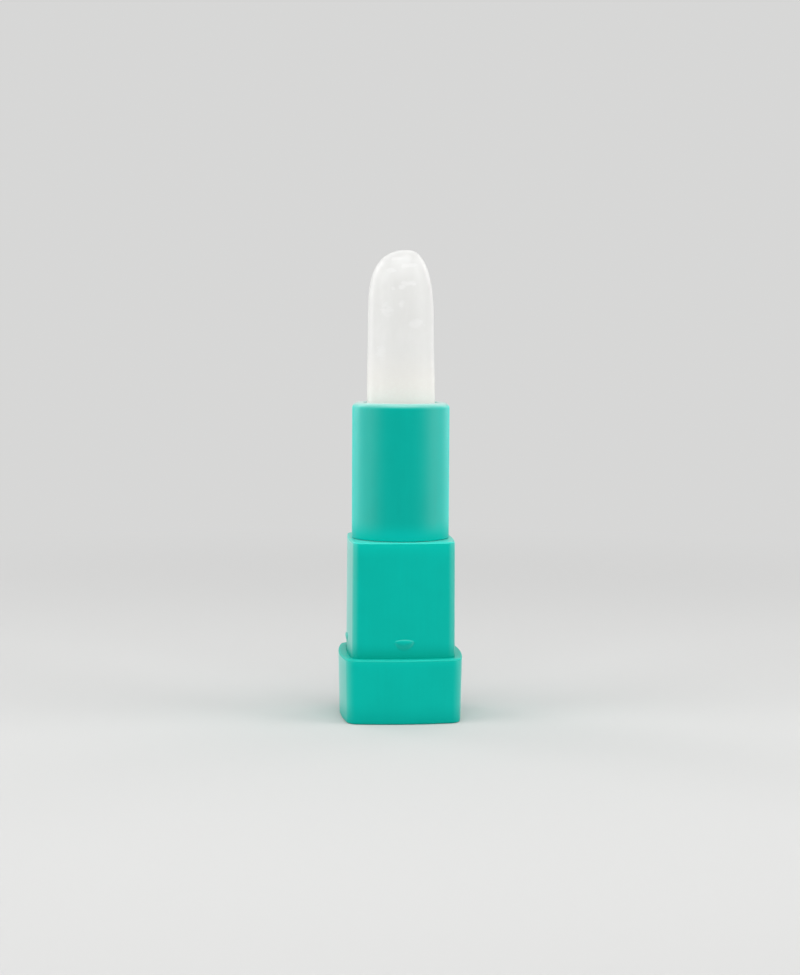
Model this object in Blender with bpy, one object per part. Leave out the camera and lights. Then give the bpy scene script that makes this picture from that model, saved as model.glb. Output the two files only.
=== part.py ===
# A twist-up balm stick with its cap off: a square base and neck, a round tube that turns in the neck,
# and a carriage that two spiral grooves in the turning tube raise and lower. Metres, +Z up.
# The origin is the middle of the base's underside, and the carriage stands fully raised.
from math import atan, atan2, cos, pi, sin, sqrt, tau

import bmesh
import bpy

# Balm stick
STICK_DIAMETER = 0.0121  # at its foot, the common size for a cast stick
STICK_TAPER = 0.00018  # radius lost between the rim of the tube and the start of the dome
STICK_SHOWN = 0.02688  # from the rim of the tube to the tip
STICK_LEAN = 0.0001  # the stick stands this far off the axis, towards -X, where its dome starts
DOME_HEIGHT = 0.0128
TIP_SKEW = 0.00075  # sideways shift of the very tip from the leaning axis, towards +X
DOME_RISE_POWER = 3.0  # higher keeps the dome's flank straight for longer
DOME_ROUND_POWER = 2.3  # 2 makes an ellipse, higher a squarer shoulder
SKEW_POWER = 9.0  # higher keeps the skew closer to the tip

# Gaps between pieces
SEAT_GAP = 0.00005  # pressed or glued
RUNNING_GAP = 0.0001  # turning or sliding
LUG_GAP = 0.00015  # each side of a lug in its groove

# Cup that carries the stick
CUP_WALL = 0.0004
CUP_FLOOR = 0.0008
CUP_DEPTH = 0.0082
CUP_RIM_DROP = 0.00035  # below the rim of the tube
LUG_DIAMETER = 0.0012
LUG_RISE = 0.0012  # from the cup's underside to the middle of a lug

# Guide tube with two upright slots
GUIDE_WALL = 0.0005
FLANGE_WIDTH = 0.0006
FLANGE_THICKNESS = 0.0006

# Sleeve with two spiral grooves
SLEEVE_WALL = 0.0008
GROOVE_DEPTH = 0.0005
TURNS = 1.5  # of the tube, from fully raised to fully lowered
RETRACTED_DEPTH = 0.001  # of the tip below the rim when fully lowered

# Friction ring between guide and sleeve
RING_SECTION = 0.00045

# Outer tube
TUBE_RISE = 0.02411  # from the top of the neck to the rim
TUBE_WALL = 0.0006
RIM_FILLET = 0.0011
LIP_THICKNESS = 0.0013
LIP_FILLET = 0.0002

# Neck
NECK_RISE = 0.02041  # from the ledge of the base to the top of the neck
NECK_WALL = 0.00125  # at the top, at the middle of a face
NECK_DRAFT = 0.00009  # half-width gained down to the ledge
NECK_FACE_RADIUS = 0.081  # the faces bow out a little
NECK_CORNER_RADIUS = 0.0016
NECK_FILLET = 0.0003
WEB_THICKNESS = 0.0024  # the floor inside the neck that holds the guide
WEB_STEP = 0.001  # from the inside of the guide to the hole in the web
GUIDE_SEAT_DEPTH = 0.0015
FOOT_ROOM = 0.0037  # from the web to the cup when fully lowered
BEAD_RISE = 0.00262  # from the ledge to the middle of a snap bead
BEAD_WIDTH = 0.0033
BEAD_HEIGHT = 0.00155
BEAD_PROUD = 0.00035

# Base
BASE_HEIGHT = 0.01143
BASE_DRAFT = 0.00023  # half-width lost down to the underside
LEDGE_WIDTH = 0.00149
BASE_FACE_RADIUS = 0.05
BASE_CORNER_RADIUS = 0.0022
BASE_FILLET = 0.00035
BASE_FLOOR = 0.0015
SHOULDER_RISE = 0.0029  # from the inside of the floor to the shoulder that carries the neck
SHOULDER_WIDTH = 0.001

# Mesh fineness
FACE_STEPS = 10  # along each face of a square ring
CORNER_STEPS = 6  # round each corner of a square ring
RING_STEPS = 4 * (FACE_STEPS + CORNER_STEPS)
FILLET_STEPS = 3
DOME_STEPS = 10
BAND_STEPS = 48  # of the groove, for each full turn
SECTION_STEPS = 8  # round the friction ring's section
PIN_STEPS = 16  # round a lug, and round a snap bead
MERGE_DISTANCE = 0.000001

# Radii, from the stick outwards
stick_radius = STICK_DIAMETER / 2
cup_inner = stick_radius + SEAT_GAP
cup_outer = cup_inner + CUP_WALL
guide_inner = cup_outer + RUNNING_GAP
guide_outer = guide_inner + GUIDE_WALL
sleeve_inner = guide_outer + RUNNING_GAP
sleeve_outer = sleeve_inner + SLEEVE_WALL
groove_outer = sleeve_inner + GROOVE_DEPTH
lug_reach = groove_outer - RUNNING_GAP
tube_inner = sleeve_outer + SEAT_GAP
tube_outer = tube_inner + TUBE_WALL
lip_inner = guide_inner + RUNNING_GAP
neck_bore = sleeve_outer + RUNNING_GAP
neck_top_half = neck_bore + NECK_WALL
neck_foot_half = neck_top_half + NECK_DRAFT
base_top_half = neck_foot_half + LEDGE_WIDTH
base_foot_half = base_top_half - BASE_DRAFT
lug_radius = LUG_DIAMETER / 2

# Heights above the underside of the base
shoulder = BASE_FLOOR + SHOULDER_RISE
neck_foot = shoulder + SEAT_GAP
neck_top = BASE_HEIGHT + NECK_RISE
tube_foot = neck_top + RUNNING_GAP
tube_top = neck_top + TUBE_RISE
lip_underside = tube_top - LIP_THICKNESS
flange_top = lip_underside - RUNNING_GAP
flange_underside = flange_top - FLANGE_THICKNESS
sleeve_top = flange_underside - RUNNING_GAP
travel = STICK_SHOWN + RETRACTED_DEPTH
cup_top = tube_top - CUP_RIM_DROP
cup_floor = cup_top - CUP_DEPTH
cup_foot = cup_floor - CUP_FLOOR
lug_height = cup_foot + LUG_RISE
web_top = cup_foot - travel - FOOT_ROOM
sleeve_foot = web_top + RUNNING_GAP
stick_foot = cup_floor + SEAT_GAP
dome_start = tube_top + STICK_SHOWN - DOME_HEIGHT

TEAL = (0.004, 0.44, 0.365)
WHITE = (0.78, 0.79, 0.76)
BLACK = (0.03, 0.03, 0.03)
BALM = (0.8, 0.8, 0.76)


# A ring of points on a circle. Its first point lies where a square ring's first face starts, so that
# a circle and a square can be joined point by point.
def circle(radius, z, centre_x=0.0):
    ring = []
    for step in range(RING_STEPS):
        angle = (step + CORNER_STEPS / 2) * tau / RING_STEPS - 3 * pi / 4
        ring.append((centre_x + radius * cos(angle), radius * sin(angle), z))
    return ring


# A ring of points on a square with bowed faces: an arc for each face, and a smaller arc for each corner
# that touches the two faces beside it. The half-width is measured to the middle of a face, and the whole
# outline is then drawn in by the inset.
def square(half, face_radius, corner_radius, z, inset=0.0):
    back = face_radius - half  # from the axis to the centre of the face's arc
    face_radius -= inset
    corner_radius -= inset
    corner = (sqrt(2 * (face_radius - corner_radius) ** 2 - back * back) - back) / 2
    spread = atan2(corner, corner + back)
    points = []
    for step in range(FACE_STEPS):
        angle = spread * (2 * step / FACE_STEPS - 1)
        points.append((face_radius * sin(angle), back - face_radius * cos(angle)))
    for step in range(CORNER_STEPS):
        angle = spread + (pi / 2 - 2 * spread) * step / CORNER_STEPS
        points.append((corner + corner_radius * sin(angle), -corner - corner_radius * cos(angle)))
    ring = []
    for quarter in range(4):
        turn = quarter * pi / 2
        for x, y in points:
            ring.append((x * cos(turn) - y * sin(turn), x * sin(turn) + y * cos(turn), z))
    return ring


# Pairs of (inset, drop) along a quarter circle, from the flank of a rounded edge to its flat top.
def fillet(radius):
    angles = [step * pi / 2 / FILLET_STEPS for step in range(FILLET_STEPS + 1)]
    return [(radius * (1 - cos(angle)), radius * (1 - sin(angle))) for angle in angles]


# Skins a run of rings with quads. A closed run joins its last ring to its first, which makes a hollow
# body, and an open run has a flat face over each end. A ring of no radius closes to a point.
def loft(name, rings, closed=False):
    bm = bmesh.new()
    loops = [[bm.verts.new(point) for point in ring] for ring in rings]
    pairs = list(zip(loops, loops[1:]))
    if closed:
        pairs.append((loops[-1], loops[0]))
    else:
        bm.faces.new(loops[0])
        bm.faces.new(loops[-1])
    for first, second in pairs:
        for here in range(len(first)):
            after = (here + 1) % len(first)
            bm.faces.new((first[here], first[after], second[after], second[here]))
    return finish(name, bm)


# Turns a bmesh into an object, with its faces pointing out.
def finish(name, bm):
    bmesh.ops.remove_doubles(bm, verts=bm.verts, dist=MERGE_DISTANCE)
    bmesh.ops.recalc_face_normals(bm, faces=bm.faces)
    mesh = bpy.data.meshes.new(name)
    bm.to_mesh(mesh)
    bm.free()
    mesh.shade_smooth()
    mesh.set_sharp_from_angle(angle=pi / 6)
    piece = bpy.data.objects.new(name, mesh)
    bpy.context.scene.collection.objects.link(piece)
    return piece


# Gives a piece its own material.
def paint(piece, colour, roughness, transmission):
    material = bpy.data.materials.new(piece.name)
    material.use_nodes = True
    shader = material.node_tree.nodes["Principled BSDF"]
    shader.inputs["Base Color"].default_value = (*colour, 1.0)
    shader.inputs["Roughness"].default_value = roughness
    shader.inputs["Metallic"].default_value = 0.0
    shader.inputs["Transmission Weight"].default_value = transmission
    piece.data.materials.append(material)


# An empty on the axis, which the pieces of one body hang from. The base's own empty is at the origin.
def body(name, z, parent=None):
    empty = bpy.data.objects.new(name, None)
    empty.empty_display_size = stick_radius
    empty.location = (0.0, 0.0, z)
    empty.parent = parent
    bpy.context.scene.collection.objects.link(empty)
    return empty


# Cuts a helper shape out of a piece, or joins it on.
def combine(piece, helper, operation):
    modifier = piece.modifiers.new(helper.name, "BOOLEAN")
    modifier.operation = operation
    modifier.object = helper
    helper.parent = piece
    helper.display_type = "WIRE"
    helper.hide_render = True


# Half-width of the neck's outside at a height: constant in the base, then narrowing to the top.
def neck_half(z):
    return neck_foot_half - NECK_DRAFT * max(0.0, z - BASE_HEIGHT) / NECK_RISE


# The square base: up its outside, in over the ledge, then down the socket for the neck to its floor.
def make_base_shell():
    rings = []
    for inset, drop in reversed(fillet(BASE_FILLET)):
        rings.append(square(base_foot_half, BASE_FACE_RADIUS, BASE_CORNER_RADIUS, drop, inset))
    for inset, drop in fillet(BASE_FILLET):
        rings.append(square(base_top_half, BASE_FACE_RADIUS, BASE_CORNER_RADIUS, BASE_HEIGHT - drop, inset))
    for z in (BASE_HEIGHT, shoulder):
        rings.append(square(neck_foot_half, NECK_FACE_RADIUS, NECK_CORNER_RADIUS, z, -SEAT_GAP))
    for z in (shoulder, BASE_FLOOR):
        rings.append(square(neck_foot_half, NECK_FACE_RADIUS, NECK_CORNER_RADIUS, z, SHOULDER_WIDTH))
    return loft("base_shell", rings)


# The square neck: up its outside, then down the bore, through the web that holds the guide, and out.
def make_neck_collar():
    rings = []
    for z in (neck_foot, BASE_HEIGHT):
        rings.append(square(neck_half(z), NECK_FACE_RADIUS, NECK_CORNER_RADIUS, z))
    for inset, drop in fillet(NECK_FILLET):
        z = neck_top - drop
        rings.append(square(neck_half(z), NECK_FACE_RADIUS, NECK_CORNER_RADIUS, z, inset))
    guide_seat_radius = guide_outer + SEAT_GAP
    guide_seat = web_top - GUIDE_SEAT_DEPTH
    web_hole = guide_inner - WEB_STEP
    web_underside = web_top - WEB_THICKNESS
    rings += [circle(neck_bore, neck_top), circle(neck_bore, web_top)]
    rings += [circle(guide_seat_radius, web_top), circle(guide_seat_radius, guide_seat)]
    rings += [circle(web_hole, guide_seat), circle(web_hole, web_underside)]
    rings += [circle(neck_bore, web_underside), circle(neck_bore, neck_foot)]
    neck = loft("neck_collar", rings, closed=True)
    combine(neck, make_snap_beads(), "UNION")
    return neck


# Four flattened balls, half sunk in the middle of the neck's faces.
def make_snap_beads():
    bm = bmesh.new()
    z = BASE_HEIGHT + BEAD_RISE
    for quarter in range(4):
        ball = bmesh.ops.create_uvsphere(bm, u_segments=PIN_STEPS, v_segments=PIN_STEPS // 2, radius=1.0)
        turn = quarter * pi / 2
        for vert in ball["verts"]:
            along = vert.co.x * BEAD_WIDTH / 2
            out = neck_half(z) + vert.co.y * BEAD_PROUD
            height = z + vert.co.z * BEAD_HEIGHT / 2
            vert.co = (out * sin(turn) + along * cos(turn), along * sin(turn) - out * cos(turn), height)
    return finish("snap_beads", bm)


# The fixed inner tube: plain foot in the web, flange over the sleeve, and two upright slots for the lugs.
def make_guide_tube():
    foot = web_top - GUIDE_SEAT_DEPTH + SEAT_GAP
    flange_outer = guide_outer + FLANGE_WIDTH
    rings = [circle(guide_outer, foot), circle(guide_outer, flange_underside)]
    rings += [circle(flange_outer, flange_underside), circle(flange_outer, flange_top)]
    rings += [circle(guide_inner, flange_top), circle(guide_inner, foot)]
    guide = loft("guide_tube", rings, closed=True)
    combine(guide, make_slot_cutter(), "DIFFERENCE")
    return guide


# One upright bar through the guide, as wide as a lug with room to slide, cuts both slots.
def make_slot_cutter():
    half_width = lug_radius + RUNNING_GAP
    half_length = guide_outer + FLANGE_WIDTH
    bm = bmesh.new()
    for vert in bmesh.ops.create_cube(bm, size=2.0)["verts"]:
        end = lug_height if vert.co.z > 0 else lug_height - travel
        height = end + vert.co.z * (lug_radius + LUG_GAP)
        vert.co = (vert.co.x * half_length, vert.co.y * half_width, height)
    return finish("slot_cutter", bm)


# The friction ring lies round the foot of the guide, in a counterbore of the sleeve.
def make_friction_ring():
    section = RING_SECTION / 2
    centre = guide_outer + SEAT_GAP + section
    z = sleeve_foot + SEAT_GAP + section
    rings = []
    for step in range(SECTION_STEPS):
        angle = tau * (step + 0.5) / SECTION_STEPS
        rings.append(circle(centre + section * cos(angle), z + section * sin(angle)))
    return loft("friction_ring", rings, closed=True)


# The sleeve: plain outside, a counterbore for the ring at its foot, and two grooves half a turn apart.
def make_spiral_sleeve():
    counterbore = guide_outer + 2 * SEAT_GAP + RING_SECTION
    counterbore_top = sleeve_foot + 2 * SEAT_GAP + RING_SECTION
    rings = [circle(sleeve_outer, sleeve_foot), circle(sleeve_outer, sleeve_top)]
    rings += [circle(sleeve_inner, sleeve_top), circle(sleeve_inner, counterbore_top)]
    rings += [circle(counterbore, counterbore_top), circle(counterbore, sleeve_foot)]
    sleeve = loft("spiral_sleeve", rings, closed=True)
    for start in (0.0, pi):
        combine(sleeve, make_groove_cutter(start), "DIFFERENCE")
    return sleeve


# A band that climbs with the angle round the axis. Seen from the sleeve, a lug that stands still while
# the tube turns by one angle moves back by that angle, and down by its share of the travel.
def make_groove_cutter(start):
    lead = travel / (TURNS * tau)  # climb for each radian
    half_width = lug_radius + LUG_GAP
    half_height = half_width / cos(atan(lead / sleeve_inner))
    overrun = half_width / sleeve_inner  # so that a whole lug fits past each end of its path
    steps = round(TURNS * BAND_STEPS)
    inner = sleeve_inner - GROOVE_DEPTH
    rings = []
    for step in range(steps + 1):
        back = -overrun + (TURNS * tau + 2 * overrun) * step / steps
        x, y = cos(start - back), sin(start - back)
        low = lug_height - lead * back - half_height
        high = lug_height - lead * back + half_height
        rings.append([
            (inner * x, inner * y, low),
            (groove_outer * x, groove_outer * y, low),
            (groove_outer * x, groove_outer * y, high),
            (inner * x, inner * y, high),
        ])
    return loft("groove_cutter", rings)


# The outer tube: up its outside, round the rim, over the lip, and down its inside.
def make_outer_tube():
    rings = [circle(tube_outer, tube_foot)]
    for inset, drop in fillet(RIM_FILLET):
        rings.append(circle(tube_outer - inset, tube_top - drop))
    for inset, drop in reversed(fillet(LIP_FILLET)):
        rings.append(circle(lip_inner + inset, tube_top - drop))
    rings += [circle(lip_inner, lip_underside), circle(tube_inner, lip_underside)]
    rings += [circle(tube_inner, tube_foot)]
    return loft("outer_tube", rings, closed=True)


# The cup: up its outside, over the rim, and down to its floor, with a lug on each side.
def make_cup():
    rings = [circle(cup_outer, cup_foot), circle(cup_outer, cup_top)]
    rings += [circle(cup_inner, cup_top), circle(cup_inner, cup_floor)]
    cup = loft("cup", rings)
    combine(cup, make_lugs(), "UNION")
    return cup


# Two short pins along X. Each starts inside the cup's wall and reaches into its groove.
def make_lugs():
    root = cup_outer - CUP_WALL / 2
    bm = bmesh.new()
    for side in (-1, 1):
        pin = bmesh.ops.create_cone(
            bm, cap_ends=True, segments=PIN_STEPS, radius1=lug_radius, radius2=lug_radius, depth=1.0
        )
        for vert in pin["verts"]:
            reach = lug_reach if vert.co.z > 0 else root
            vert.co = (side * reach, vert.co.y, lug_height + side * vert.co.x)
    return finish("lugs", bm)


# Radius of the stick at a height: a slight taper, then a dome that follows a rounded power curve.
def stick_radius_at(z):
    shaft = min(1.0, max(0.0, (z - tube_top) / (dome_start - tube_top)))
    rise = max(0.0, (z - dome_start) / DOME_HEIGHT)
    rounding = max(0.0, 1 - rise ** DOME_RISE_POWER) ** (1 / DOME_ROUND_POWER)
    return (stick_radius - STICK_TAPER * shaft) * rounding


# Sideways place of the stick's middle at a height: a slight lean one way, then the tip skews back.
def stick_centre_at(z):
    shaft = min(1.0, max(0.0, (z - tube_top) / (dome_start - tube_top)))
    rise = max(0.0, (z - dome_start) / DOME_HEIGHT)
    return TIP_SKEW * rise ** SKEW_POWER - STICK_LEAN * shaft


# The balm stick: a straight foot in the cup, a slightly tapered shaft, and the dome.
def make_balm_stick():
    heights = [stick_foot, tube_top, (tube_top + dome_start) / 2]
    for step in range(DOME_STEPS + 1):
        heights.append(dome_start + DOME_HEIGHT * sin(step * pi / 2 / DOME_STEPS))
    rings = [circle(stick_radius_at(z), z, stick_centre_at(z)) for z in heights]
    return loft("balm_stick", rings)


for old in list(bpy.data.objects):
    bpy.data.objects.remove(old, do_unlink=True)

base = body("base", 0.0)
tube_turn = body("tube_turn", neck_top, base)
carriage_slide = body("carriage_slide", lug_height, base)

# Each piece with its colour, roughness and transmission, and the body that it hangs from
for make, colour, roughness, transmission, holder in (
    (make_base_shell, TEAL, 0.4, 0.0, base),
    (make_neck_collar, TEAL, 0.4, 0.0, base),
    (make_guide_tube, WHITE, 0.5, 0.0, base),
    (make_friction_ring, BLACK, 0.6, 0.0, base),
    (make_outer_tube, TEAL, 0.35, 0.0, tube_turn),
    (make_spiral_sleeve, WHITE, 0.5, 0.0, tube_turn),
    (make_cup, WHITE, 0.4, 0.0, carriage_slide),
    (make_balm_stick, BALM, 0.25, 0.3, carriage_slide),
):
    piece = make()
    paint(piece, colour, roughness, transmission)
    piece.parent = holder
    piece.location.z = -holder.location.z
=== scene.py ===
import math

import bpy
import numpy as np
from mathutils import Matrix, Vector


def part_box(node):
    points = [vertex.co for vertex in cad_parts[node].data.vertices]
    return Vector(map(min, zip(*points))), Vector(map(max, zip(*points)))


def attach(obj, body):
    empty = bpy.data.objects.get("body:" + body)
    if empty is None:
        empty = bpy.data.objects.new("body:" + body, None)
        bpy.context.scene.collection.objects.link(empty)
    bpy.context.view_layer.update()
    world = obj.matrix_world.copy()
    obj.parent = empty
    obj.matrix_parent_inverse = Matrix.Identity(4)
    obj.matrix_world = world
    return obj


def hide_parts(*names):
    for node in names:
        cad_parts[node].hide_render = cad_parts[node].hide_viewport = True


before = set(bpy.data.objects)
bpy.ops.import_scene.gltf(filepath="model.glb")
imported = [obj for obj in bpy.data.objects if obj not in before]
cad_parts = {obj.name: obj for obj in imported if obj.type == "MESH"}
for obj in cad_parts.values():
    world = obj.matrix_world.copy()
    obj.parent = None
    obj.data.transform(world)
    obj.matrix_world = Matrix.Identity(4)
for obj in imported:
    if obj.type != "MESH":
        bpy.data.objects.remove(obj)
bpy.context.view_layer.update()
print("frame loaded:", ", ".join(sorted(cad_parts)))

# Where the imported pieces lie. Lengths are in metres, and z = 0 is the underside of the base.
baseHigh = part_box("base_shell")[1]
neckLow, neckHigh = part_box("neck_collar")
tubeLow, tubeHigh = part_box("outer_tube")
cupLow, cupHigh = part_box("cup")
stickLow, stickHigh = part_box("balm_stick")

ringColumns = 256  # round every turned piece


# Surfaces

# Rows of points become quads; each row closes on itself. With loop, the last row joins the first. A
# point given as firstCentre or lastCentre closes that end with a fan. Rows that climb the outside of a
# piece while their points run anticlockwise, seen from above, give faces that point outwards.
def skin(name, rows, loop=False, firstCentre=None, lastCentre=None, sharpAngle=40):
    count, columns = rows.shape[:2]
    points = [rows.reshape(-1, 3)]
    here = np.arange(columns)
    after = (here + 1) % columns
    lower = np.arange(count if loop else count - 1)[:, None] * columns
    upper = (lower + columns) % (count * columns)
    quads = np.stack([lower + here, lower + after, upper + after, upper + here], axis=-1)
    faces = quads.reshape(-1, 4).tolist()
    centreIndex = count * columns
    if firstCentre is not None:
        points.append(np.array([firstCentre], float))
        faces += np.stack([np.full(columns, centreIndex), after, here], axis=-1).tolist()
        centreIndex += 1
    if lastCentre is not None:
        points.append(np.array([lastCentre], float))
        last = (count - 1) * columns
        faces += np.stack([last + here, last + after, np.full(columns, centreIndex)], axis=-1).tolist()
    mesh = bpy.data.meshes.new(name)
    mesh.from_pydata(np.concatenate(points).tolist(), [], faces)
    mesh.update()
    mesh.shade_smooth()
    mesh.set_sharp_from_angle(angle=math.radians(sharpAngle))
    piece = bpy.data.objects.new(name, mesh)
    bpy.context.scene.collection.objects.link(piece)
    return piece


# A profile of radii and heights, turned round the upright axis through centreX.
def turned(radii, heights, centreX=0.0, columns=ringColumns):
    angle = np.linspace(0, 2 * np.pi, columns, endpoint=False)
    radii, heights, centreX = np.broadcast_arrays(np.asarray(radii, float), heights, centreX)
    x = centreX[:, None] + radii[:, None] * np.cos(angle)
    y = radii[:, None] * np.sin(angle)
    return np.stack([x, y, np.broadcast_to(heights[:, None], x.shape)], axis=-1)


# Inset and drop along a quarter circle of that radius, from the flank of an edge to its flat top.
def roundedEdge(radius, steps=8):
    angle = np.linspace(0, np.pi / 2, steps + 1)
    return radius * (1 - np.cos(angle)), radius * (1 - np.sin(angle))


squareMesh = {
    "faceSteps": 56,  # along each face, closer together in the middle, where the snap bead is
    "middleCrowding": 0.3,  # spacing in the middle of a face, as a share of an even spacing
    "cornerSteps": 16,
}


# Squares with bowed faces, one for each row. A face is an arc of faceRadius whose centre lies beyond
# the axis. A corner is an arc of cornerRadius that touches the two faces beside it. The outline is then
# drawn in by inset. relief(along, z) raises the middle of every face.
def bowedSquares(half, faceRadius, cornerRadius, inset, z, relief=None):
    rows = np.broadcast_arrays(half, inset, z)
    half, inset, z = [np.asarray(value, float)[:, None] for value in rows]
    back = faceRadius - half
    corner = (np.sqrt(2 * (faceRadius - cornerRadius) ** 2 - back ** 2) - back) / 2
    spread = np.arctan2(corner, corner + back)
    even = np.linspace(-1, 1, squareMesh["faceSteps"], endpoint=False)
    crowding = squareMesh["middleCrowding"]
    along = even * (crowding + (1 - crowding) * even ** 2)
    faceX = (faceRadius - inset) * np.sin(spread * along)
    faceY = back - (faceRadius - inset) * np.cos(spread * along)
    if relief is not None:
        faceY = faceY - relief(faceX, z)
    steps = np.linspace(0, 1, squareMesh["cornerSteps"], endpoint=False)
    turn = spread + (np.pi / 2 - 2 * spread) * steps
    cornerX = corner + (cornerRadius - inset) * np.sin(turn)
    cornerY = -corner - (cornerRadius - inset) * np.cos(turn)
    x = np.concatenate([faceX, cornerX], axis=1)
    y = np.concatenate([faceY, cornerY], axis=1)
    fullX = np.concatenate([x, -y, -x, y], axis=1)
    fullY = np.concatenate([y, x, -y, -x], axis=1)
    return np.stack([fullX, fullY, np.broadcast_to(z, fullX.shape)], axis=-1)


# Circles whose points lie at the same angles as those of a square row, so that the two can be joined.
def circlesLike(squareRow, radii, heights):
    angle = np.arctan2(squareRow[:, 1], squareRow[:, 0])
    radii = np.asarray(radii, float)[:, None]
    x = radii * np.cos(angle)
    z = np.broadcast_to(np.asarray(heights, float)[:, None], x.shape)
    return np.stack([x, radii * np.sin(angle), z], axis=-1)


# Pieces

neckLook = {
    "ledgeWidth": 0.00149,  # of the base round the neck
    "draft": 0.00009,
    "faceRadius": 0.081,
    "cornerRadius": 0.0016,
    "edgeRadius": 0.0003,
    "boreRadius": 0.0081,
    "webTop": 0.01502,
    "webUnderside": 0.01262,
    "webHole": 0.0056,
    "beadFoot": 0.0127,
    "beadPeak": 0.01435,
    "beadTop": 0.014825,
    "beadWidth": 0.0033,
    "beadProud": 0.00035,
    "beadFade": 2.0,
}
neckTopHalf = baseHigh.x - neckLook["ledgeWidth"] - neckLook["draft"]

baseLook = {
    "draft": 0.00023,
    "faceRadius": 0.05,
    "cornerRadius": 0.0022,
    "edgeRadius": 0.00035,
    "socketGap": 0.00005,
    "shoulder": 0.0044,
    "shoulderWidth": 0.001,
    "floor": 0.0015,
    "dishRadius": 0.0034,  # a shallow moulded dish under the base, with the stub of the gate in it
    "dishDepth": 0.00025,
    "stubRadius": 0.0006,
    "stubFlare": 1.3,  # its radius in the dish, as a share of stubRadius
    "stubRecess": 0.4,  # how far it ends short of the ground, as a share of dishDepth
}


# The base: from the middle of its underside out over the dish, up its bowed faces, in over the ledge,
# and down the socket that the neck stands in.
def makeBase():
    look = baseLook
    topHalf = baseHigh.x
    footHalf = topHalf - look["draft"]
    inset, drop = roundedEdge(look["edgeRadius"])
    foot = bowedSquares(footHalf, look["faceRadius"], look["cornerRadius"], inset[::-1], drop[::-1])
    top = bowedSquares(topHalf, look["faceRadius"], look["cornerRadius"], inset, baseHigh.z - drop)
    flank = np.linspace(foot[-1], top[0], 9)[1:-1]
    neckFootHalf = neckTopHalf + neckLook["draft"]
    square = (neckLook["faceRadius"], neckLook["cornerRadius"])
    socket = bowedSquares(neckFootHalf, *square, -look["socketGap"], [baseHigh.z, look["shoulder"]])
    well = bowedSquares(neckFootHalf, *square, look["shoulderWidth"], [look["shoulder"], look["floor"]])
    stub, dish, depth = look["stubRadius"], look["dishRadius"], look["dishDepth"]
    stubEnd = depth * look["stubRecess"]
    radii = [stub, stub * look["stubFlare"], dish - depth, dish]
    under = circlesLike(foot[0], radii, [stubEnd, depth, depth, 0.0])
    rows = np.concatenate([under, foot, flank, top, socket, well])
    middles = {"firstCentre": (0, 0, stubEnd), "lastCentre": (0, 0, look["floor"])}
    return skin("base", rows, **middles, sharpAngle=32)


# A snap bead on the middle of each face, with a steep top and a foot that fades out. Its height above
# the face is beadProud times side times (1 - up^2)^power. side is the root of 1 - across^2, and up runs
# from the peak to the edge of the bead. The power is 0.5 above the peak and beadFade below it.
def snapBead(along, z):
    look = neckLook
    across = along / (look["beadWidth"] / 2)
    side = np.sqrt(np.clip(1 - across ** 2, 1e-9, None))
    rise = z - look["beadPeak"]
    reach = np.where(rise > 0, look["beadTop"] - look["beadPeak"], look["beadPeak"] - look["beadFoot"])
    power = np.where(rise > 0, 0.5, look["beadFade"])
    return look["beadProud"] * side * np.clip(1 - (rise / (reach * side)) ** 2, 0, None) ** power


# The neck: up its faces with close rows over the bead, round the top edge, then down the bore, past the
# web that carries the guide, and out at its foot in the base.
def makeNeck():
    look = neckLook
    inset, drop = roundedEdge(look["edgeRadius"])
    beadMiddle = (look["beadTop"] + look["beadFoot"]) / 2
    beadReach = (look["beadTop"] - look["beadFoot"]) / 2
    overBead = beadMiddle + beadReach * np.sin(np.linspace(-np.pi / 2, np.pi / 2, 41))
    heights = np.concatenate([
        [neckLow.z, baseHigh.z],
        np.linspace(baseHigh.z, overBead[0], 4)[1:-1],
        overBead,
        np.linspace(overBead[-1], neckHigh.z - look["edgeRadius"], 12)[1:-1],
        neckHigh.z - drop,
    ])
    insets = np.concatenate([np.zeros(len(heights) - len(inset)), inset])
    climb = np.clip((heights - baseHigh.z) / (neckHigh.z - baseHigh.z), 0, 1)
    half = neckTopHalf + look["draft"] * (1 - climb)
    square = (look["faceRadius"], look["cornerRadius"])
    outside = bowedSquares(half, *square, insets, heights, relief=snapBead)
    bore, hole = look["boreRadius"], look["webHole"]
    webTop, webUnderside = look["webTop"], look["webUnderside"]
    radii = [bore, bore, hole, hole, bore, bore]
    levels = [neckHigh.z, webTop, webTop, webUnderside, webUnderside, neckLow.z]
    inside = circlesLike(outside[0], radii, levels)
    return skin("neck", np.concatenate([outside, inside]), loop=True, sharpAngle=35)


tubeLook = {
    "wall": 0.0006,
    "rimRadius": 0.0011,
    "lipInner": 0.0067,
    "lipRadius": 0.0002,
    "lipThickness": 0.0013,
    "footRadius": 0.00004,
    "footGap": 0.00008,  # above the neck
}


# The tube: a rounded foot, a straight wall, the round of the rim, the lip, and back down the inside.
def makeTube():
    look = tubeLook
    radius, lip = tubeHigh.x, look["lipInner"]
    footZ = neckHigh.z + look["footGap"]
    footInset, footDrop = roundedEdge(look["footRadius"], 4)
    rimInset, rimDrop = roundedEdge(look["rimRadius"], 14)
    lipInset, lipDrop = roundedEdge(look["lipRadius"], 5)
    flank = np.linspace(footZ + look["footRadius"], tubeHigh.z - look["rimRadius"], 12)[1:-1]
    lipUnderside = tubeHigh.z - look["lipThickness"]
    inside = radius - look["wall"]
    radii = np.concatenate([
        radius - footInset[::-1], np.full(len(flank), radius), radius - rimInset,
        lip + lipInset[::-1], [lip, inside, inside],
    ])
    heights = np.concatenate([
        footZ + footDrop[::-1], flank, tubeHigh.z - rimDrop,
        tubeHigh.z - lipDrop[::-1], [lipUnderside, lipUnderside, footZ],
    ])
    return skin("tube", turned(radii, heights), loop=True, sharpAngle=40)


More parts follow.
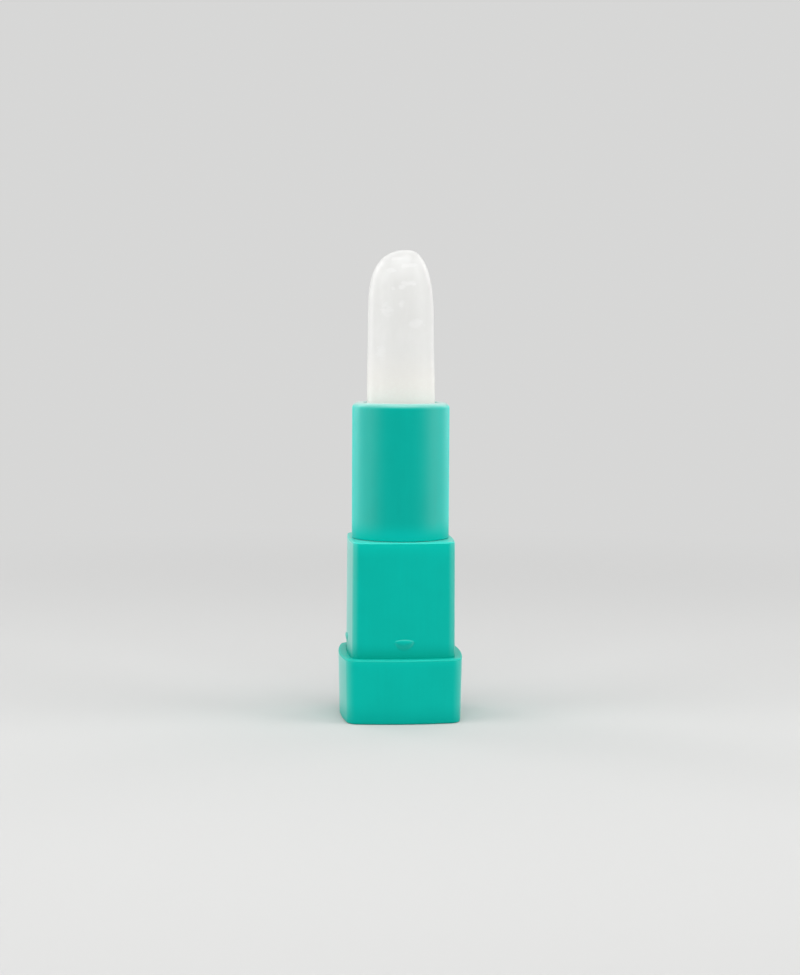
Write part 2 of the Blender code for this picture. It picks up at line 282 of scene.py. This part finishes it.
cupLook = {
    "wall": 0.0004,
    "floorThickness": 0.0008,
    "rimRadius": 0.00012,
    "lugRadius": 0.0006,
    "lugRise": 0.0012,
    "lugEnd": 0.25,  # the rounding of its end, as a share of lugRadius
}


# The cup: up the outside, round the thin rim and down to its floor.
def makeCup():
    look = cupLook
    outer = cupHigh.y
    inner = outer - look["wall"]
    inset, drop = roundedEdge(look["rimRadius"], 5)
    floor = cupLow.z + look["floorThickness"]
    radii = np.concatenate([[outer], outer - inset, inner + inset[::-1], [inner]])
    heights = np.concatenate([[cupLow.z], cupHigh.z - drop, cupHigh.z - drop[::-1], [floor]])
    rows = turned(radii, heights)
    return skin("cup_holder", rows, firstCentre=(0, 0, cupLow.z), lastCentre=(0, 0, floor))


# A lug is a short pin along X, from inside the cup's wall into its groove: a circle in Y and Z,
# carried along X with a rounded end. side is 1 or -1.
def makeLug(name, side):
    look = cupLook
    radius = look["lugRadius"]
    inset, drop = roundedEdge(radius * look["lugEnd"], 4)
    root = cupHigh.y - look["wall"] / 2
    reach = np.concatenate([[root], cupHigh.x - drop])[:, None]
    ring = np.concatenate([[radius], radius - inset])[:, None]
    angle = side * np.linspace(0, 2 * np.pi, 32, endpoint=False)
    middle = cupLow.z + look["lugRise"]
    places = (side * reach, ring * np.cos(angle), middle + ring * np.sin(angle))
    rows = np.stack(np.broadcast_arrays(*places), axis=-1)
    near, far = (side * root, 0, middle), (side * cupHigh.x, 0, middle)
    return skin(name, rows, firstCentre=near, lastCentre=far)


stickLook = {
    "footRadius": 0.00605,
    "taper": 0.00018,  # radius lost up to the start of the dome
    "lean": 0.0001,  # towards -X, where the dome starts
    "domeHeight": 0.0128,
    "risePower": 3.0,
    "roundPower": 2.3,
    "tipSkew": 0.00075,
    "skewPower": 9.0,
    "waviness": 0.000015,  # how far the cast skin waves in and out
    "hiddenRow": 0.0004,  # below the cup's rim, where the rows that show begin
}


# The stick: a straight foot in the cup, a slightly tapered shaft, then a dome whose radius falls as
# (1 - rise^risePower)^(1/roundPower). The middle of each row leans one way, and the skew brings the tip
# back over. A few slow sine waves round and along the stick make its cast skin a little uneven.
def makeStick():
    look = stickLook
    domeStart = stickHigh.z - look["domeHeight"]
    rimHeight = tubeHigh.z
    climb = np.sin(np.linspace(0, np.pi / 2, 60))[:-1]
    heights = np.concatenate([
        [stickLow.z, cupHigh.z - look["hiddenRow"]],
        np.linspace(cupHigh.z, domeStart, 50)[:-1],
        domeStart + look["domeHeight"] * climb,
    ])
    shaft = np.clip((heights - rimHeight) / (domeStart - rimHeight), 0, 1)
    rise = np.clip((heights - domeStart) / look["domeHeight"], 0, 1)
    domed = (1 - rise ** look["risePower"]) ** (1 / look["roundPower"])
    radii = (look["footRadius"] - look["taper"] * shaft) * domed
    middle = look["tipSkew"] * rise ** look["skewPower"] - look["lean"] * shaft
    rows = turned(radii, heights, middle)
    angle = np.linspace(0, 2 * np.pi, ringColumns, endpoint=False)[None, :]
    level = (heights[:, None] - cupHigh.z) / 0.01
    wave = np.sin(3 * angle + 2.1 * level) + 0.6 * np.sin(5 * angle - 3.7 * level + 1.0)
    wave = wave + 0.8 * np.sin(4.6 * level + 0.7) * np.cos(angle + 0.4)
    highest = 2.4  # the most that the three waves add up to
    fade = (shaft * (1 - rise ** 4))[:, None]  # no wave in the cup or at the very tip
    inward = look["waviness"] * fade * (wave - highest)
    rows[..., 0] += inward * np.cos(angle)
    rows[..., 1] += inward * np.sin(angle)
    tip = (look["tipSkew"] - look["lean"], 0, stickHigh.z)
    return skin("stick", rows, firstCentre=(0, 0, stickLow.z), lastCentre=tip, sharpAngle=60)


# Materials

# Wraps an output socket, so that sums on values read as sums. Each one adds a Math node.
class Wire:
    def __init__(self, bench, socket):
        self.bench, self.socket = bench, socket

    def math(self, operation, first, second):
        return self.bench.node("ShaderNodeMath", {"operation": operation}, {0: first, 1: second})

    def __add__(self, other):
        return self.math("ADD", self, other)

    def __radd__(self, other):
        return self.math("ADD", other, self)

    def __sub__(self, other):
        return self.math("SUBTRACT", self, other)

    def __rsub__(self, other):
        return self.math("SUBTRACT", other, self)

    def __mul__(self, other):
        return self.math("MULTIPLY", self, other)

    def __rmul__(self, other):
        return self.math("MULTIPLY", other, self)


# A material under construction: its nodes, its shader and its object coordinates.
class Bench:
    def __init__(self, name):
        self.material = bpy.data.materials.new(name)
        self.material.use_nodes = True
        self.tree = self.material.node_tree
        self.shader = self.tree.nodes["Principled BSDF"]
        self.place = self.node("ShaderNodeTexCoord", output="Object")

    # Any node: its type, its settings, then a value or a wire for each named or numbered socket.
    def node(self, kind, settings=None, inputs=None, output=0):
        made = self.tree.nodes.new(kind)
        for key, value in (settings or {}).items():
            setattr(made, key, value)
        for key, value in (inputs or {}).items():
            self.feed(made.inputs[key], value)
        return Wire(self, made.outputs[output])

    def feed(self, socket, value):
        if isinstance(value, Wire):
            self.tree.links.new(value.socket, socket)
        else:
            socket.default_value = value

    # Noise on the piece's own coordinates, about 0 to 1. Features are about 1/scale metres across.
    def noise(self, scale, detail=2.0, stretch=None, turn=(0, 0, 0)):
        place = self.place
        if stretch:
            mapping = {"Vector": place, "Rotation": turn, "Scale": stretch}
            place = self.node("ShaderNodeMapping", {}, mapping)
        return self.node("ShaderNodeTexNoise", {}, {"Vector": place, "Scale": scale, "Detail": detail})

    # 0 below low, 1 above high, and a smooth step between.
    def step(self, value, low, high):
        settings = {"interpolation_type": "SMOOTHSTEP"}
        inputs = {"Value": value, "From Min": low, "From Max": high}
        return self.node("ShaderNodeMapRange", settings, inputs)

    # The first colour where the mask is 0, the second where it is 1.
    def blend(self, mask, first, second):
        made = self.tree.nodes.new("ShaderNodeMix")
        made.data_type = "RGBA"
        self.feed(made.inputs["Factor"], mask)
        self.feed(made.inputs["A"], first)
        self.feed(made.inputs["B"], second)
        return Wire(self, made.outputs["Result"])

    def bump(self, height, distance):
        return self.node("ShaderNodeBump", {}, {"Height": height, "Distance": distance})

    # Sets the shader's sockets, named with _ in place of each space.
    def finish(self, **sockets):
        for key, value in sockets.items():
            self.feed(self.shader.inputs[key.replace("_", " ")], value)
        return self.material

    # Shows the other shader where the mask is 1, in place of what the material shows so far.
    def mixOut(self, mask, other):
        surface = self.tree.nodes["Material Output"].inputs["Surface"]
        soFar = Wire(self, surface.links[0].from_socket)
        self.feed(surface, self.node("ShaderNodeMixShader", {}, {0: mask, 1: soFar, 2: other}))
        return self.material


def rgb(red, green, blue):
    return (red, green, blue, 1.0)


tealLook = {
    "colour": (0.0, 0.455, 0.375),
    "deep": (0.0, 0.435, 0.357),
    "cloud": 160.0,  # soft tone changes, about 6 mm across
    "flow": 1400.0,  # faint upright flow lines
    "grain": 3800.0,  # the fine satin texture
    "scuff": 2600.0,  # rare slanting scuffs, which show where their noise passes scuffFrom
    "scuffFrom": 0.68,
    "scuffTo": 0.76,
    "grainDepth": 0.000004,
    "edgeTint": rgb(0.92, 1.0, 1.0),
    "edgeSheenRoughness": 0.36,
    "flankRoughness": 0.45,
    "edgeRoughness": 0.24,
}
# Each piece has its own shade and gloss. The shades differ to match how brightly each piece is lit,
# which is painted light; the tube's is lowest, to offset its strong sheen. The flank gloss grows as the
# surface turns away from the eye, from none at flankFrom to all of it at flankTo, where 0 is square on
# and 1 is edge on. The round of its top edge has another gloss and colour, which fade out between
# edgeFull and edgeEnd below its top; on the tube and neck that colour is lighter, a painted highlight.
# Just below that edge the tone is crownPaintedLight times the piece's own, a painted brightening where
# light falls from above, and fades over crownReach. Its foot is plain, in footShadeAndGlow, and gives
# way to the rest
# from seam up over seamReach: painted shade on the base and neck, and on the tube a painted glow of
# light bounced up from the neck.
tealPieces = {
    "base": {
        "shade": 1.05, "roughness": 0.40, "specular": 0.05, "sheen": 0.34,
        "sheenTint": rgb(0.92, 1.0, 1.0), "sheenRoughness": 0.36,
        "flankGloss": 0.8, "flankFrom": 0.03, "flankTo": 0.4,
        "edgeFull": 0.0003, "edgeEnd": 0.0004,
        "edgeHighlightColour": (0.005, 0.47, 0.38), "edgeGloss": 0.2, "edgeSheen": 0.0,
        "crownPaintedLight": 1.03, "crownReach": 0.0016,
        "seam": -0.001, "seamReach": 0.005, "footShadeAndGlow": (0.0, 0.385, 0.315),
    },
    "neck": {
        "shade": 1.02, "roughness": 0.40, "specular": 0.05, "sheen": 0.38,
        "sheenTint": rgb(0.92, 1.0, 1.0), "sheenRoughness": 0.36,
        "flankGloss": 0.85, "flankFrom": 0.01, "flankTo": 0.25,
        "edgeFull": 0.00019, "edgeEnd": 0.00025,
        "edgeHighlightColour": (0.02, 0.60, 0.50), "edgeGloss": 0.4, "edgeSheen": 0.15,
        "crownPaintedLight": 1.08, "crownReach": 0.003,
        "seam": baseHigh.z, "seamReach": 0.003, "footShadeAndGlow": (0.0, 0.375, 0.295),
    },
    "tube": {
        "shade": 0.80, "roughness": 0.36, "specular": 0.05, "sheen": 0.88,
        "sheenTint": rgb(0.04, 1.0, 0.90), "sheenRoughness": 0.6,
        "flankGloss": 0.9, "flankFrom": 0.0, "flankTo": 0.4,
        "edgeFull": 0.0001, "edgeEnd": 0.00085,
        "edgeHighlightColour": (0.24, 0.61, 0.54), "edgeGloss": 1.0, "edgeSheen": 0.8,
        "crownPaintedLight": 1.0, "crownReach": 0.001,
        "seam": tubeLow.z, "seamReach": 0.0038, "footShadeAndGlow": (0.0, 0.50, 0.43),
    },
}


# Moulded satin plastic: soft clouds of tone, faint upright flow lines, fine grain and rare scuffs. Its
# top edge has a glossier coat and, on the tube and neck, a lighter colour, a painted highlight. Its
# foot, without gloss or sheen, has painted shade where the next piece shades it, and on the tube a
# painted glow of bounced light. Both have a shader of their own. top is the height of the piece's top.
def makeTeal(name, top):
    look, piece = tealLook, tealPieces[name]
    bench = Bench("teal_" + name)
    cloud = bench.noise(look["cloud"], detail=3.0)
    flow = bench.noise(look["flow"], stretch=(1, 1, 0.06))
    grain = bench.noise(look["grain"], detail=3.0)
    scuffNoise = bench.noise(look["scuff"], detail=1.0, stretch=(1, 1, 0.04), turn=(0.5, 0.9, 0.2))
    scuff = bench.step(scuffNoise, look["scuffFrom"], look["scuffTo"])
    tone = bench.step(cloud * 0.7 + flow * 0.3, 0.35, 0.65)
    # Each piece's shade is partly painted light, set to how brightly the piece is lit.
    deep, plain = [rgb(*[part * piece["shade"] for part in look[key]]) for key in ("deep", "colour")]
    rough = piece["roughness"] + (cloud - 0.5) * 0.06 + (flow - 0.5) * 0.05 + scuff * 0.08
    relief = bench.bump(grain + scuff * 0.6 + flow * 0.25, look["grainDepth"])
    level = bench.node("ShaderNodeSeparateXYZ", {}, {"Vector": bench.place}, output="Z")
    # Painted light: the piece is brighter just under its top edge, where light falls from above.
    paintedCrown = rgb(*[part * piece["crownPaintedLight"] for part in plain[:3]])
    colour = bench.blend(tone, deep, plain)
    colour = bench.blend(bench.step(level, top - piece["crownReach"], top), colour, paintedCrown)
    facing = bench.node("ShaderNodeLayerWeight", {}, {"Blend": 0.5}, output="Facing")
    bench.finish(
        Base_Color=colour, Roughness=rough, Normal=relief, Specular_IOR_Level=piece["specular"],
        Coat_Weight=bench.step(facing, piece["flankFrom"], piece["flankTo"]) * piece["flankGloss"],
        Coat_Roughness=look["flankRoughness"],
        Sheen_Weight=piece["sheen"], Sheen_Roughness=piece["sheenRoughness"],
        Sheen_Tint=piece["sheenTint"],
    )
    # Painted shade at the foot of the base and neck; at the tube's foot a painted glow of light bounced
    # off the neck.
    foot = 1 - bench.step(level, piece["seam"], piece["seam"] + piece["seamReach"])
    paintedFoot = bench.node("ShaderNodeBsdfPrincipled", {}, {
        "Base Color": rgb(*piece["footShadeAndGlow"]), "Roughness": rough, "Normal": relief,
        "Specular IOR Level": piece["specular"],
    })
    bench.mixOut(foot, paintedFoot)
    # The top edge: a glossier coat, and on the tube and neck a lighter colour, a painted highlight.
    edge = bench.step(level, top - piece["edgeEnd"], top - piece["edgeFull"])
    glossAndHighlightEdge = bench.node("ShaderNodeBsdfPrincipled", {}, {
        "Base Color": rgb(*piece["edgeHighlightColour"]), "Roughness": rough, "Normal": relief,
        "Specular IOR Level": piece["specular"],
        "Coat Weight": piece["edgeGloss"], "Coat Roughness": look["edgeRoughness"],
        "Sheen Weight": piece["edgeSheen"], "Sheen Roughness": look["edgeSheenRoughness"],
        "Sheen Tint": look["edgeTint"],
    })
    return bench.mixOut(edge, glossAndHighlightEdge)


# Heights, depths and the sizes of the flecks are in millimetres here.
balmLook = {
    # Painted shade: the tip is darker than the low part, to offset the stronger light from above.
    "low": rgb(0.76, 0.755, 0.71),
    "tip": rgb(0.585, 0.585, 0.55),
    "lowFrom": 6.0,  # below the rim, where the low tone starts to pass into the tip's
    # Painted light: the stick just above the rim is lighter, against the shade of the rim.
    "paintedRimLight": rgb(0.90, 0.89, 0.85),
    "atRimFull": -1.0,  # above the rim
    "atRimEnd": 5.5,
    "milky": rgb(0.80, 0.80, 0.78),
    "cloud": 190.0,
    "cloudShare": 0.10,
    "fleckAndHighlightShare": 0.3,
    "scatterRadius": (0.2, 0.2, 0.19),  # wide, so that light passes right through the stick
    "scatter": 0.7,
    "roughness": 0.36,
    "specular": 0.15,
    "skinDepth": 0.00004,  # of its faint dimples, in metres
    "domeGloss": 0.7,  # the polish of the dome, from domeFrom to domeFull below the tip
    "domeRoughness": 0.3,
    "domeFrom": 7.0,
    "domeFull": 1.5,
    "waxFoot": rgb(0.79, 0.768, 0.733),  # the clouded foot, which lets no light through
    "waxFootClear": rgb(0.86, 0.92, 0.87),
    "waxFootMottle": 0.1,
    "waxFootFull": 2.0,  # above the rim
    "waxFootEnd": 10.0,
    "frontEnd": -3.0,  # the front's flecks give way to scattered ones between these depths
    "backFrom": 1.0,
    # Lighter milky flecks on the front: middle, height, half width and half height. The last four, near
    # the tip, are painted highlights on the dome.
    "flecksAndHighlights": (
        (-2.96, 72.05, 0.9, 1.3),
        (2.12, 69.81, 1.3, 0.8),
        (-0.35, 73.45, 0.5, 0.6),
        (-0.36, 76.23, 0.6, 0.5),
        (-1.93, 76.05, 0.4, 0.4),
        (0.9, 76.93, 1.3, 0.5),
        (-3.9, 64.9, 0.8, 1.3),
        (-0.6, 58.3, 0.9, 0.4),
        (-2.2, 79.2, 0.8, 0.45),
        (0.1, 79.9, 0.7, 0.4),
        (1.7, 80.1, 0.9, 0.35),
        (-1.2, 81.2, 1.2, 0.3),
    ),
}


# Translucent wax: cloudy tone, milkier flecks, and a smooth but faintly dimpled skin. A few lighter
# marks near the tip are painted highlights, the tip is painted darker against the light from above, and
# the stick just above the rim is painted lighter against the rim's shade. Its clouded foot has a shader
# of its own.
def makeBalm():
    look = balmLook
    bench = Bench("balm")
    cloud = bench.noise(look["cloud"], detail=4.0)
    specks = bench.step(bench.noise(420.0, detail=1.0, stretch=(1, 1, 0.7)), 0.6, 0.72)
    across, depth, height = [
        bench.node("ShaderNodeSeparateXYZ", {}, {"Vector": bench.place}, output=axis) * 1000
        for axis in "XYZ"
    ]
    behind = bench.step(depth, look["frontEnd"], look["backFrom"])
    flecksAndHighlights = specks * behind
    front = 1 - behind
    ragged = (bench.noise(1100.0, detail=3.0, stretch=(0.6, 1, 1.4)) - 0.5) * 4.0
    for middle, level, halfWidth, halfHeight in look["flecksAndHighlights"]:
        sideways = (across - middle) * (1 / halfWidth)
        upwards = (height - level) * (1 / halfHeight)
        apart = sideways * sideways + upwards * upwards + ragged
        flecksAndHighlights = flecksAndHighlights + front * (1 - bench.step(apart, 0.0, 1.6))
    rimZ, tipZ = tubeHigh.z * 1000, stickHigh.z * 1000
    # Painted shade: darker towards the tip, against the stronger light from above.
    colour = bench.blend(bench.step(height, rimZ - look["lowFrom"], tipZ), look["low"], look["tip"])
    # Painted light just above the rim, against the rim's shade.
    aboveRim = bench.step(height, rimZ + look["atRimFull"], rimZ + look["atRimEnd"])
    colour = bench.blend(aboveRim, look["paintedRimLight"], colour)
    # The same milky colour paints the highlights near the tip.
    milkAndHighlights = bench.step(cloud, 0.3, 0.75) * look["cloudShare"] + flecksAndHighlights * look["fleckAndHighlightShare"]
    colour = bench.blend(milkAndHighlights, colour, look["milky"])
    skinNoise = bench.noise(260.0, detail=3.0)
    fine = bench.noise(2800.0, detail=2.0)
    rough = look["roughness"] + (cloud - 0.5) * 0.12 + (fine - 0.5) * 0.05
    relief = bench.bump(skinNoise, look["skinDepth"])
    dome = bench.step(height, tipZ - look["domeFrom"], tipZ - look["domeFull"])
    bench.finish(
        Base_Color=colour, Roughness=rough, Normal=relief, Specular_IOR_Level=look["specular"],
        Subsurface_Weight=look["scatter"], Subsurface_Radius=look["scatterRadius"],
        Subsurface_Scale=1.0,
        Coat_Weight=dome * look["domeGloss"], Coat_Roughness=look["domeRoughness"],
    )
    mottle = bench.step(bench.noise(1500.0, detail=3.0, stretch=(1, 1, 1.6)), 0.45, 0.65)
    waxTone = bench.blend(mottle * look["waxFootMottle"], look["waxFoot"], look["waxFootClear"])
    waxFoot = bench.node("ShaderNodeBsdfPrincipled", {}, {
        "Base Color": waxTone, "Roughness": rough, "Normal": relief,
        "Specular IOR Level": look["specular"],
    })
    clouded = 1 - bench.step(height, rimZ + look["waxFootFull"], rimZ + look["waxFootEnd"])
    return bench.mixOut(clouded, waxFoot)


# Unpainted white moulding for the parts inside.
def makeInnerPlastic(name, colour, roughness):
    bench = Bench(name)
    cloud = bench.noise(240.0, detail=3.0)
    grain = bench.noise(3200.0)
    red, green, blue = colour
    darker = rgb(red * 0.93, green * 0.93, blue * 0.92)
    tone = bench.blend(bench.step(cloud, 0.3, 0.7), darker, rgb(*colour))
    rough = roughness + (cloud - 0.5) * 0.1
    return bench.finish(Base_Color=tone, Roughness=rough, Normal=bench.bump(grain, 0.000006))


# Matt rubber with a dusty bloom.
def makeRubber():
    bench = Bench("rubber")
    dust = bench.step(bench.noise(900.0, detail=4.0), 0.45, 0.7)
    colour = bench.blend(dust * 0.5, rgb(0.02, 0.02, 0.02), rgb(0.06, 0.06, 0.058))
    relief = bench.bump(dust, 0.000008)
    return bench.finish(Base_Color=colour, Roughness=0.62 + dust * 0.2, Normal=relief)


def dress(piece, material):
    piece.data.materials.clear()
    piece.data.materials.append(material)


# Making the object

base, neck, tube, stick = makeBase(), makeNeck(), makeTube(), makeStick()
cup = makeCup()
lugs = [makeLug("lug_right", 1), makeLug("lug_left", -1)]
print("pieces made")

dress(base, makeTeal("base", baseHigh.z))
dress(neck, makeTeal("neck", neckHigh.z))
dress(tube, makeTeal("tube", tubeHigh.z))
dress(stick, makeBalm())
innerPlastic = makeInnerPlastic("inner_plastic", (0.80, 0.80, 0.77), 0.45)
for piece in [cup] + lugs:
    dress(piece, innerPlastic)
for node in ("guide_tube", "spiral_sleeve"):
    dress(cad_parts[node], innerPlastic)
dress(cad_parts["friction_ring"], makeRubber())
print("materials made")

for piece, body, node, slot in (
    (base, "base", "base_shell", "base_plastic"),
    (neck, "base", "neck_collar", "neck_plastic"),
    (tube, "tube", "outer_tube", "tube_plastic"),
    (cup, "carriage", "cup", "inner_plastic"),
    (stick, "carriage", "balm_stick", "balm"),
):
    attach(piece, body)
    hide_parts(node)
for lug in lugs:
    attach(lug, "carriage")
    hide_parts("cup")

# Studio

studio = {
    "floorColour": rgb(0.60, 0.60, 0.595),
    "floorShade": rgb(0.585, 0.585, 0.58),
    "backdropColour": rgb(0.68, 0.68, 0.675),
    "backdropFrom": 0.09,
    "backdropTo": 0.32,
    "floorRadius": 0.9,
    "bendRadius": 0.5,
    "wallTop": 1.5,
    "worldColour": rgb(1.0, 1.0, 1.0),
    "worldStrength": 0.5,
}


# A round sweep: flat floor, a quarter-circle bend and an upright wall, turned round the upright axis.
# From backdropFrom to backdropTo metres from the axis, the lit floor passes into an even pale backdrop,
# which is there for the camera, for gloss and through clear things, and lights nothing.
def makeSweep():
    bend = np.linspace(0, np.pi / 2, 25)
    flat, radius = studio["floorRadius"], studio["bendRadius"]
    radii = np.concatenate([[0.05, 0.3], flat + radius * np.sin(bend), [flat + radius]])
    heights = np.concatenate([[0.0, 0.0], radius * (1 - np.cos(bend)), [studio["wallTop"]]])
    inward = turned(radii, heights, columns=128)
    sweep = skin("studio_sweep", inward[::-1], lastCentre=(0, 0, 0))
    bench = Bench("sweep")
    soft = bench.noise(6.0, detail=2.0)
    colour = bench.blend(soft, studio["floorColour"], studio["floorShade"])
    bench.finish(Base_Color=colour, Roughness=0.9, Specular_IOR_Level=0.1)
    length = {"operation": "LENGTH"}
    reach = bench.node("ShaderNodeVectorMath", length, {0: bench.place}, output="Value")
    seen = 0.0
    for ray in ("Is Camera Ray", "Is Glossy Ray", "Is Transmission Ray"):
        seen = bench.node("ShaderNodeLightPath", output=ray) + seen
    away = bench.step(reach, studio["backdropFrom"], studio["backdropTo"]) * bench.step(seen, 0.0, 1.0)
    glow = bench.node("ShaderNodeEmission", {}, {"Color": studio["backdropColour"], "Strength": 1.0})
    dress(sweep, bench.mixOut(away, glow))


# A softbox that faces a point on the object, and that the camera doesn't see.
def makeSoftbox(name, place, size, watts):
    light = bpy.data.lights.new(name, "AREA")
    light.shape = "RECTANGLE"
    light.size, light.size_y = size
    light.energy = watts
    lamp = bpy.data.objects.new(name, light)
    direction = Vector(softboxAim) - Vector(place)
    turn = direction.to_track_quat("-Z", "Y").to_matrix().to_4x4()
    lamp.matrix_world = Matrix.Translation(place) @ turn
    lamp.visible_camera = False
    bpy.context.scene.collection.objects.link(lamp)


softboxAim = (0, 0, 0.045)
softboxes = {
    "over_box": {"place": (0.0, -0.10, 0.50), "size": (0.4, 0.3), "watts": 0.82},
    "key_box": {"place": (0.0, -0.38, 0.42), "size": (0.5, 0.22), "watts": 0.86},
    "left_box": {"place": (-0.40, -0.15, 0.18), "size": (0.3, 0.45), "watts": 1.08},
    "right_box": {"place": (0.40, -0.15, 0.18), "size": (0.3, 0.45), "watts": 1.16},
    "left_rim_box": {"place": (-0.36, 0.32, 0.2), "size": (0.2, 0.4), "watts": 0.62},
    "right_rim_box": {"place": (0.36, 0.32, 0.2), "size": (0.2, 0.4), "watts": 0.36},
    "back_box": {"place": (0.0, 0.34, 0.40), "size": (0.5, 0.2), "watts": 0.22},
}

makeSweep()
for name, box in softboxes.items():
    makeSoftbox(name, box["place"], box["size"], box["watts"])

world = bpy.data.worlds.new("studio")
world.use_nodes = True
background = world.node_tree.nodes["Background"]
background.inputs["Color"].default_value = studio["worldColour"]
background.inputs["Strength"].default_value = studio["worldStrength"]
bpy.context.scene.world = world
bpy.context.scene.view_settings.view_transform = "Standard"

# Camera

# Fitted to the photo's outlines. The aim point lies on the axis and falls on aimPixel of the picture.
cameraFit = {
    "aim": (0.0, 0.0, 0.042),
    "distance": 0.3656,
    "azimuth": -4.86,
    "elevation": 4.60,
    "roll": 0.27,  # clockwise lean of the object in the picture, in degrees
    "focalPixels": 2051.8,
    "aimPixel": (400.52, 480.35),
    "picture": (800, 975),
}


def makeCamera():
    fit = cameraFit
    azimuth, elevation, roll = [math.radians(fit[key]) for key in ("azimuth", "elevation", "roll")]
    back = Vector((
        math.sin(azimuth) * math.cos(elevation),
        -math.cos(azimuth) * math.cos(elevation),
        math.sin(elevation),
    ))
    level = Vector((math.cos(azimuth), math.sin(azimuth), 0.0))
    upright = back.cross(level)
    right = level * math.cos(roll) + upright * math.sin(roll)
    up = upright * math.cos(roll) - level * math.sin(roll)
    data = bpy.data.cameras.new("camera")
    width, height = fit["picture"]
    data.sensor_width = 36.0
    data.lens = fit["focalPixels"] * data.sensor_width / height
    data.shift_x = (width / 2 - fit["aimPixel"][0]) / height
    data.shift_y = (fit["aimPixel"][1] - height / 2) / height
    data.clip_start, data.clip_end = 0.01, 10.0
    camera = bpy.data.objects.new("camera", data)
    turn = Matrix((right, up, back)).transposed().to_4x4()
    camera.matrix_world = Matrix.Translation(Vector(fit["aim"]) + back * fit["distance"]) @ turn
    bpy.context.scene.collection.objects.link(camera)
    bpy.context.scene.camera = camera


makeCamera()
print("studio and camera made")
